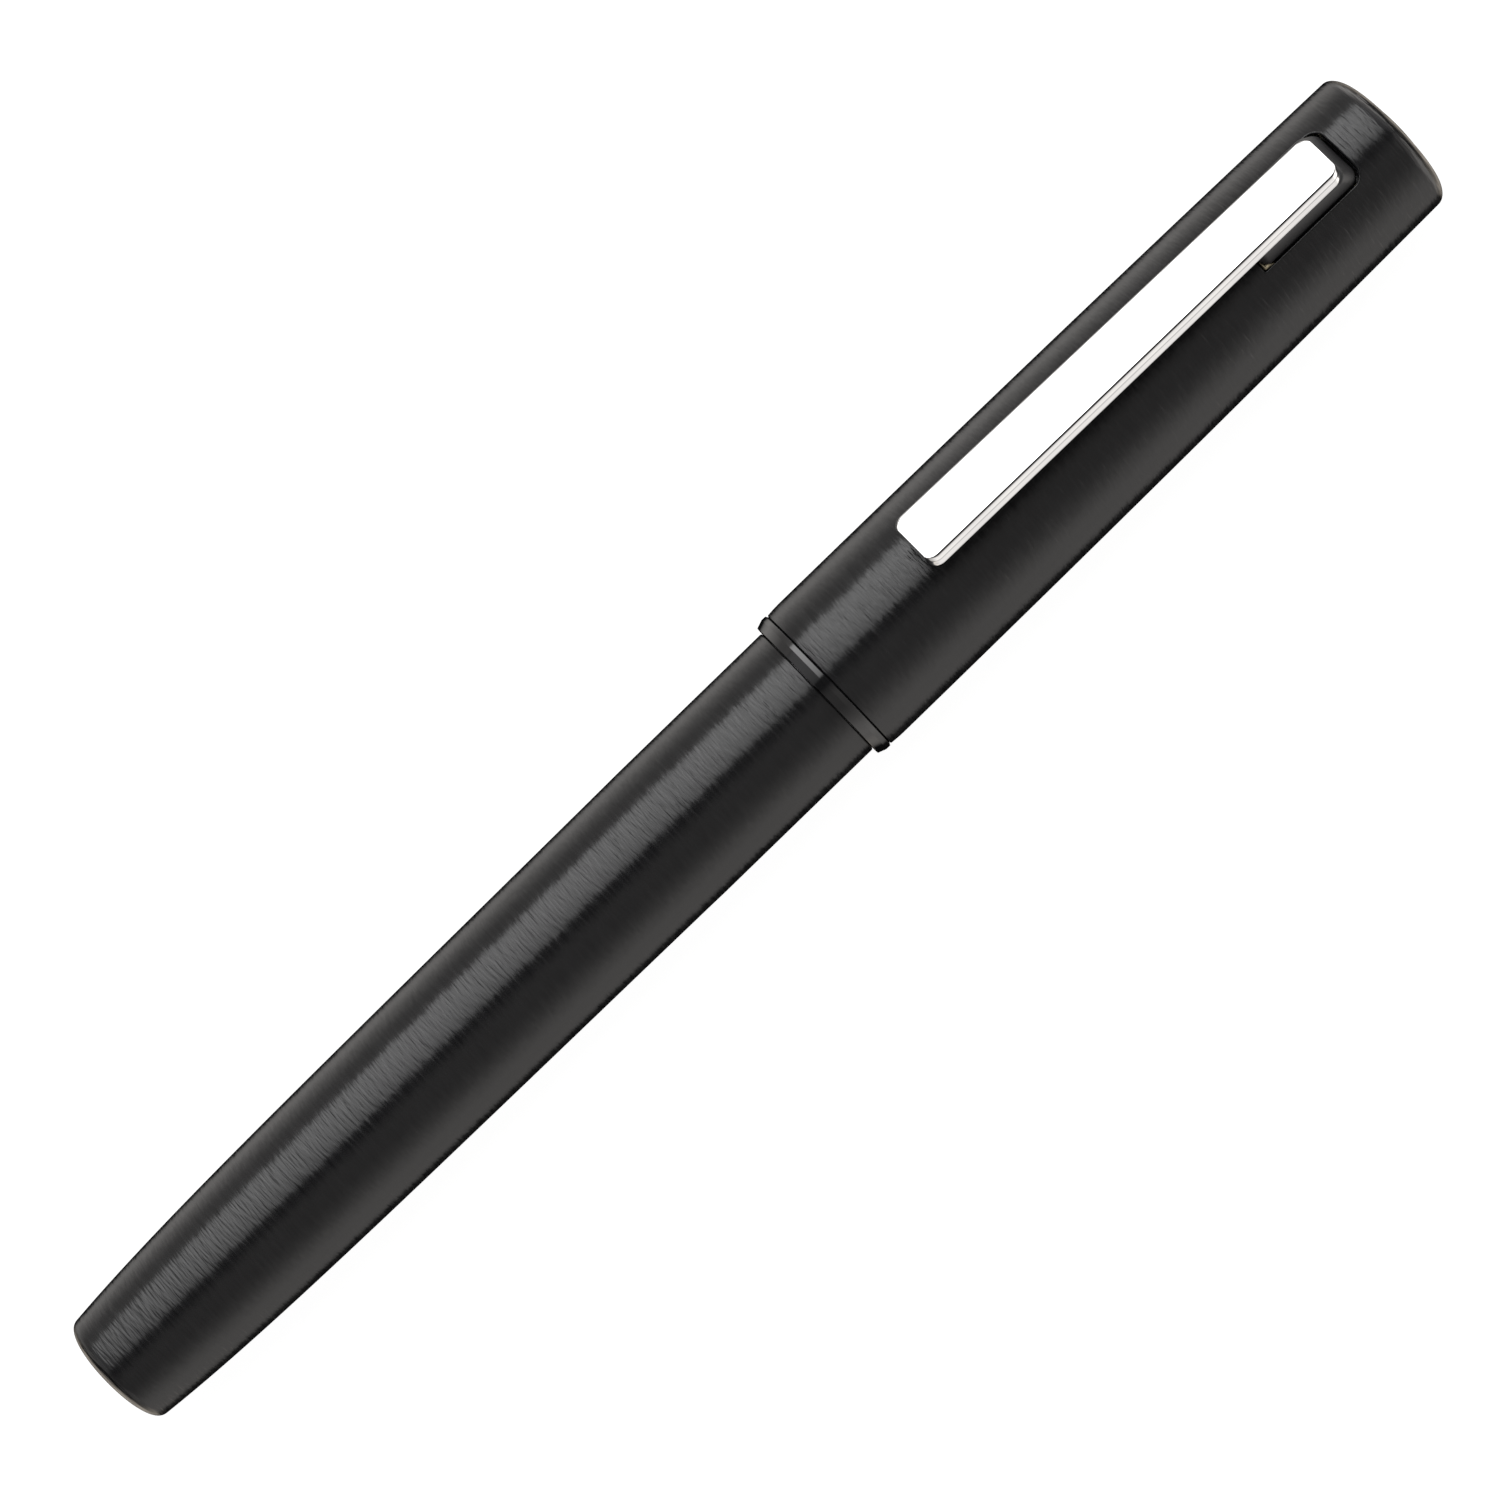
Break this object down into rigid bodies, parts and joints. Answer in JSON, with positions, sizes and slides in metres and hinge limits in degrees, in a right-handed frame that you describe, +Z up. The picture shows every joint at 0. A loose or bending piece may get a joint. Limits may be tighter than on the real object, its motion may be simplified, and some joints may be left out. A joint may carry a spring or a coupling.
{
  "type": "technical pen",
  "caption": "Capped technical pen with a turned metal barrel and cap, a sprung bar clip, an ink cartridge and a tubular drawing point with a drop weight.",
  "frame": {"origin": "on the surface the capped pen lies on, under the middle of its length and of its width", "axes": "+X along the pen from the barrel's closed end to the cap's closed end, +Z up with the clip on top, +Y across; the pen's axis is at z = 7.10 mm"},
  "size_m": [0.142, 0.0142, 0.0175],
  "materials": {
    "black_anodised": "black anodised, turned satin with fine circumferential brushing",
    "gloss_black": "moulded, high gloss",
    "black_resin": "moulded, satin",
    "grip_resin": "moulded, fine matt texture",
    "clip_resin": "moulded, satin",
    "point_resin": "moulded, satin",
    "liner_resin": "moulded, natural",
    "white_resin": "moulded, satin",
    "line_code_brown": "moulded, gloss",
    "cartridge_clear": "blow-moulded, translucent",
    "elastomer": "moulded, dull",
    "brass_thread": "machined",
    "spring_brass": "rolled strip, bright",
    "clip_steel": "stamped and drawn, dull",
    "point_steel": "ground stainless steel",
    "polished_chrome": "mirror polished plating"
  },
  "bodies": {
    "holder": {"holder_core": "black_resin", "holder_collar": "gloss_black", "holder_grip": "grip_resin", "line_width_ring": "line_code_brown", "holder_oring": "elastomer", "ink_regulator": "white_resin", "point_body": "point_resin", "point_tube": "point_steel", "point_seal": "elastomer", "needle_plug": "white_resin"},
    "barrel": {"barrel_shell": "black_anodised", "barrel_bush": "brass_thread"},
    "cartridge": {"ink_cartridge": "cartridge_clear"},
    "needle": {"drop_weight": "point_steel", "needle_wire": "point_steel"},
    "cap": {"cap_shell": "black_anodised", "cap_ring": "gloss_black", "inner_cap": "liner_resin", "clip_carrier": "black_resin", "clip_pin": "clip_steel", "clip_spring": "spring_brass", "seal_spring": "clip_steel"},
    "seal": {"seal_thimble": "liner_resin", "cap_seal": "elastomer"},
    "clip": {"clip_bar": "polished_chrome", "clip_base": "clip_resin", "clip_lever": "clip_steel", "clip_rivets": "clip_steel"}
  },
  "joints": [
    {"name": "barrel_off", "type": "slide", "parent": "holder", "child": "barrel", "axis": [-1, 0, 0], "range_m": [0, 0.07]},
    {"name": "cap_off", "type": "slide", "parent": "holder", "child": "cap", "axis": [1, 0, 0], "range_m": [0, 0.06]},
    {"name": "cartridge_pull", "type": "slide", "parent": "holder", "child": "cartridge", "axis": [-1, 0, 0], "range_m": [0, 0.012]},
    {"name": "needle_drop", "type": "slide", "parent": "holder", "child": "needle", "axis": [-1, 0, 0], "range_m": [0, 0.0012]},
    {"name": "seal_press", "type": "slide", "parent": "cap", "child": "seal", "axis": [1, 0, 0], "range_m": [0, 0.0008], "stiffness_N_per_m": 600, "springref_m": -0.0008, "deforming": ["seal_spring"]},
    {"name": "clip_lift", "type": "hinge", "parent": "cap", "child": "clip", "pos_m": [0.0622, 0, 0.01135], "axis": [0, 1, 0], "range_deg": [0, 5], "stiffness_Nm_per_rad": 1, "springref_deg": -2.29, "deforming": ["clip_spring"]}
  ]
}
